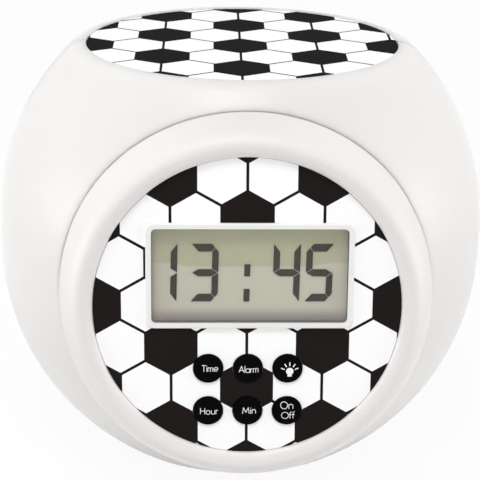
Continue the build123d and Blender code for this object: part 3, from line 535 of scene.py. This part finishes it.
# Each letter is its width and its strokes, in heights of a capital.
x_height = 0.66
bowl = x_height / 2
letters = {
    "T": (0.58, [[(0, 1), (0.58, 1)], [(0.29, 0), (0.29, 1)]]),
    "i": (0.02, [[(0.01, 0), (0.01, x_height)], [(0.01, 0.90), (0.01, 0.96)]]),
    "m": (0.78, [[(0, 0), (0, x_height)],
                 [*arc(0.195, x_height - 0.195, 0.195, 180, 0), (0.39, 0)],
                 [*arc(0.585, x_height - 0.195, 0.195, 180, 0), (0.78, 0)]]),
    "e": (2 * bowl, [[(0, bowl), *arc(bowl, bowl, bowl, 0, 320, 24)]]),
    "A": (0.80, [[(0, 0), (0.40, 1.04), (0.80, 0)], [(0.13, 0.33), (0.67, 0.33)]]),
    "l": (0.02, [[(0.01, 0), (0.01, 1.08)]]),
    "a": (2 * bowl, [arc(bowl, bowl, bowl, 0, 360, 28), [(2 * bowl, 0), (2 * bowl, x_height)]]),
    "r": (0.30, [[(0, 0), (0, x_height)], arc(0.24, x_height - 0.26, 0.24, 180, 75)]),
    "H": (0.70, [[(0, 0), (0, 1)], [(0.70, 0), (0.70, 1)], [(0, 0.54), (0.70, 0.54)]]),
    "o": (2 * bowl, [arc(bowl, bowl, bowl, 0, 360, 28)]),
    "u": (0.56, [[(0, x_height), *arc(0.28, 0.28, 0.28, 180, 360), (0.56, x_height)],
                 [(0.56, 0), (0.56, 0.3)]]),
    "M": (1.06, [[(0, 0), (0.15, 1), (0.53, 0.22), (0.91, 1), (1.06, 0)]]),
    "n": (0.58, [[(0, 0), (0, x_height)],
                 [*arc(0.29, x_height - 0.29, 0.29, 180, 0), (0.58, 0)]]),
    "O": (1.0, [arc(0.5, 0.5, 0.5, 0, 360, 36)]),
    "f": (0.34, [[(0.12, 0), (0.12, 0.86), *arc(0.30, 0.86, 0.18, 180, 80, 8)],
                 [(0, 0.62), (0.32, 0.62)]]),
}


def word_strokes(word, cap_mm, x, y, spacing=0.16):
    """A word's strokes in mm, with its middle at x, y."""
    width = sum(letters[letter][0] for letter in word) + spacing * (len(word) - 1)
    left = x - width * cap_mm / 2
    strokes = []
    for letter in word:
        advance, shapes = letters[letter]
        for shape in shapes:
            strokes.append([(left + px * cap_mm, y + (py - 0.5) * cap_mm) for px, py in shape])
        left += (advance + spacing) * cap_mm
    return strokes


def stroke_quads(points, width, longest=0.35):
    """A stroke as short quads of even width, so that it can follow the dome."""
    quads = []
    for (x0, y0), (x1, y1) in zip(points, points[1:]):
        run = Vector((x1 - x0, y1 - y0))
        sideways = Vector((-run.y, run.x)).normalized() * width / 2
        overlap = run.normalized() * width / 4
        first, last = Vector((x0, y0)) - overlap, Vector((x1, y1)) + overlap
        pieces = max(1, round((last - first).length / longest))
        for i in range(pieces):
            a = first.lerp(last, i / pieces)
            b = first.lerp(last, (i + 1) / pieces)
            quads.append([a - sideways, b - sideways, b + sideways, a + sideways])
    return quads


button_radius = 3.3
crown = 0.7
dome_radius = (button_radius ** 2 + crown ** 2) / (2 * crown)
ink_lift = 0.02


def on_dome(name, x, y):
    """A place just over a button's dome, x and y in mm from its middle."""
    drop = dome_radius - (dome_radius ** 2 - x * x - y * y) ** 0.5
    depth = reach(f"{name}_button") + (ink_lift - drop) / 1000
    return face_point(centre_of(f"{name}_key"), depth, x, y)


# The lamp's picture is a bulb on a short socket, with five rays round its top.
bulb_centre = (0.45, -0.37)
bulb_radius = 0.84
neck_angle = 55
socket_drop = 1.3
socket_half = 0.48
bulb = [*arc(0, 0, bulb_radius, -neck_angle, 180 + neck_angle, 26),
        (-socket_half, -socket_drop), (socket_half, -socket_drop)]
bulb_rings = (1.0, 0.7, 0.4, 0.02)
ray_angles = (19, 54, 90, 124, 159)
ray_near = 1.3
ray_far = 2.0
rays = []
for angle in ray_angles:
    turn = radians(angle)
    rays.append([(bulb_centre[0] + reach_mm * cos(turn), bulb_centre[1] + reach_mm * sin(turn))
                 for reach_mm in (ray_near, ray_far)])
cap_mm = 1.4
switch_cap_mm = 1.57
legend_strokes = {
    "time": word_strokes("Time", cap_mm, x=0.4, y=0.3),
    "alarm": word_strokes("Alarm", cap_mm, x=0.13, y=0.06, spacing=0.12),
    "light": rays,
    "hour": word_strokes("Hour", cap_mm, x=0.25, y=0.17, spacing=0.19),
    "minute": word_strokes("Min", cap_mm, x=0.35, y=0.33, spacing=0.22),
    "on_off": [*word_strokes("On", switch_cap_mm, x=-0.07, y=1.52, spacing=0.18),
               *word_strokes("Off", switch_cap_mm, x=0.25, y=-0.85, spacing=0.10)],
}
legend_width = 0.135           # mm, as the next one
ray_width = 0.24
legend_thickness = 0.00001     # metres
legend_ink = moulded("white_pad_print", "#f6f6f6", "#f0f0f0", 0.5, blast_mm=0.5, depth_mm=0.002,
                     IOR=1.5)
for name, strokes in legend_strokes.items():
    width = ray_width if name == "light" else legend_width
    outlines = [quad for stroke in strokes for quad in stroke_quads(stroke, width)]
    if name == "light":
        for outer, inner in zip(bulb_rings, bulb_rings[1:]):
            for (x0, y0), (x1, y1) in zip(bulb, bulb[1:] + bulb[:1]):
                quad = ((x0 * outer, y0 * outer), (x1 * outer, y1 * outer),
                        (x1 * inner, y1 * inner), (x0 * inner, y0 * inner))
                outlines.append([(bulb_centre[0] + x, bulb_centre[1] + y) for x, y in quad])
    plates(f"{name}_legend", [[on_dome(name, x, y) for x, y in outline] for outline in outlines],
           f"{name}_key_body", legend_ink, legend_thickness)

# ------------------------------------------------------------ battery bay
# An open box in plain white ABS that carries three AA cells. Nickel-plated steel contacts and
# springs stand at its ends.
coat("battery_box", moulded("white_abs_box", "#dddcd8", "#d5d4d0", 0.5, blast_mm=0.8,
                            depth_mm=0.02, IOR=1.53))
nickel = drawn_metal("nickel_plated_steel", "#cfcdc8", "#b9b7b2", 0.28, line_mm=0.15)
for piece in ("contact_plates", "contact_springs"):
    coat(piece, nickel)

# ------------------------------------------------------------ cells
# Steel cans in a shrunk plastic sleeve, plain dark grey with a copper-coloured band at the
# positive end, glossy like lacquer.
band_width = 0.014
scuff_mm = 4.0
for piece, plus in (("battery_1", 1), ("battery_2", -1), ("battery_3", 1)):
    sleeve, tree, surface = start(f"cell_sleeve_{piece[-1]}", Roughness=0.28, Metallic=0.35)
    place = object_place(tree)
    along = add(tree, "ShaderNodeSeparateXYZ", {"Vector": place}).outputs["X"]
    low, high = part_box(piece)
    if plus > 0:
        band = calc(tree, "GREATER_THAN", along, high.x - band_width)
    else:
        band = calc(tree, "LESS_THAN", along, low.x + band_width)
    grey = between(tree, noise(tree, place, scuff_mm, 4.0), "#2d2f31", "#393b3e")
    tree.links.new(between(tree, band, grey, "#b0703c"), surface.inputs["Base Color"])
    coat(piece, sleeve)

# ------------------------------------------------------------ screws
# Cross-head screws in zinc-plated steel: bright grey, a little dulled, with fine turning lines.
zinc = drawn_metal("zinc_plated_steel", "#b9babb", "#a3a4a6", 0.36, line_mm=0.1)
for piece in ("casing_screws", "bezel_screws", "board_screws", "lamp_board_screws",
              "battery_box_screws", "door_screw"):
    coat(piece, zinc)

# ------------------------------------------------------------ leads
# Stranded wire in red soft vinyl, smooth with a slight sheen, soldered at both ends.
red_vinyl = moulded("red_soft_vinyl", "#a3231d", "#8f1d18", 0.4, blast_mm=0.6, depth_mm=0.01,
                    IOR=1.5)
for piece in ("battery_leads", "lamp_leads", "sounder_leads"):
    coat(piece, red_vinyl)

# ------------------------------------------------------------ floor
# A large sheet of white card under the clock. It takes the clock's soft shadow, and shows
# nearly white to the eye and in reflections.
half_floor = 4.0
floor_drop = 0.00005           # just clear of the undersides of the feet
mesh = bpy.data.meshes.new("floor")
corners = [(x, y, 0) for x, y in ((-half_floor, -half_floor), (half_floor, -half_floor),
                                  (half_floor, half_floor), (-half_floor, half_floor))]
mesh.from_pydata(corners, [], [(0, 1, 2, 3)])
floor = bpy.data.objects.new("floor", mesh)
floor.location.z = -floor_drop
bpy.context.scene.collection.objects.link(floor)


def seen_directly(tree):
    """1 for the eye, and for what glossy and clear surfaces show; 0 for soft light."""
    path = add(tree, "ShaderNodeLightPath")
    seen = path.outputs["Is Camera Ray"]
    for kind in ("Is Glossy Ray", "Is Transmission Ray"):
        seen = calc(tree, "MAXIMUM", seen, path.outputs[kind])
    return seen


floor_light = 0.93             # share of plain white in what is seen of the card
fibre_mm = 3.0
card, tree, surface = start("white_card", Roughness=0.9, Specular_IOR_Level=0.0)
share = calc(tree, "MULTIPLY", seen_directly(tree), floor_light)
glow = add(tree, "ShaderNodeEmission", {"Color": (1, 1, 1, 1), "Strength": 1.0})
both = add(tree, "ShaderNodeMixShader", {
    0: share, 1: surface.outputs["BSDF"], 2: glow.outputs["Emission"],
})
tree.links.new(both.outputs["Shader"], tree.nodes["Material Output"].inputs["Surface"])
fibre = noise(tree, object_place(tree), fibre_mm, 3.0)
tree.links.new(between(tree, fibre, "#f0f0f0", "#ececec"), surface.inputs["Base Color"])
mesh.materials.append(card)

# ------------------------------------------------------------ light
# A white room with one softbox high up, a little in front and to the left, and a low one on
# each side. The room shows as white, and lights the clock a little less than that.
fill = 0.58                    # the room's soft light, as a share of how bright it shows
world = bpy.data.worlds.new("white_room")
bpy.context.scene.world = world
world.use_nodes = True
tree = world.node_tree
tree.nodes.clear()
strength = spread(tree, seen_directly(tree), fill, 1.0)
room = add(tree, "ShaderNodeBackground", {"Color": (1, 1, 1, 1), "Strength": strength})
add(tree, "ShaderNodeOutputWorld", {"Surface": room.outputs["Background"]})

ball_centre = Vector((0, 0, 0.055))


def softbox(name, place, width, height, power):
    """A rectangular soft light aimed at the ball's centre."""
    lamp = bpy.data.lights.new(name, "AREA")
    lamp.shape = "RECTANGLE"
    lamp.size = width
    lamp.size_y = height
    lamp.energy = power
    box = bpy.data.objects.new(name, lamp)
    box.location = place
    box.rotation_euler = (ball_centre - Vector(place)).to_track_quat("-Z", "Y").to_euler()
    bpy.context.scene.collection.objects.link(box)


softbox("softbox_top", (-0.13, -0.48, 1.13), width=0.4, height=0.3, power=6.6)
softbox("softbox_left", (-0.90, -0.16, 0.08), width=0.6, height=0.15, power=2.6)
softbox("softbox_right", (0.90, -0.16, 0.08), width=0.6, height=0.15, power=2.7)

# ------------------------------------------------------------ camera
# A long lens from the front, a little above the clock and a little to its left, with a
# slight roll. The shift sets the ball a little above the frame's middle.
distance = 0.420
azimuth = radians(-1.84)
elevation = radians(19.55)
roll = radians(0.7)
focal_px = 1654.0
frame_px = 480.0
ball_y_px = 223.1
camera = bpy.data.cameras.new("camera")
camera.sensor_width = 36.0
camera.lens = focal_px / frame_px * camera.sensor_width
camera.shift_y = (ball_y_px - frame_px / 2) / frame_px
camera.clip_start = 0.01
viewer = bpy.data.objects.new("camera", camera)
sight = Vector((sin(azimuth) * cos(elevation), -cos(azimuth) * cos(elevation), sin(elevation)))
viewer.location = ball_centre + sight * distance
turned = (-sight).to_track_quat("-Z", "Y") @ Quaternion((0, 0, 1), roll)
viewer.rotation_euler = turned.to_euler()
bpy.context.scene.collection.objects.link(viewer)
bpy.context.scene.camera = viewer
bpy.context.scene.view_settings.view_transform = "Standard"
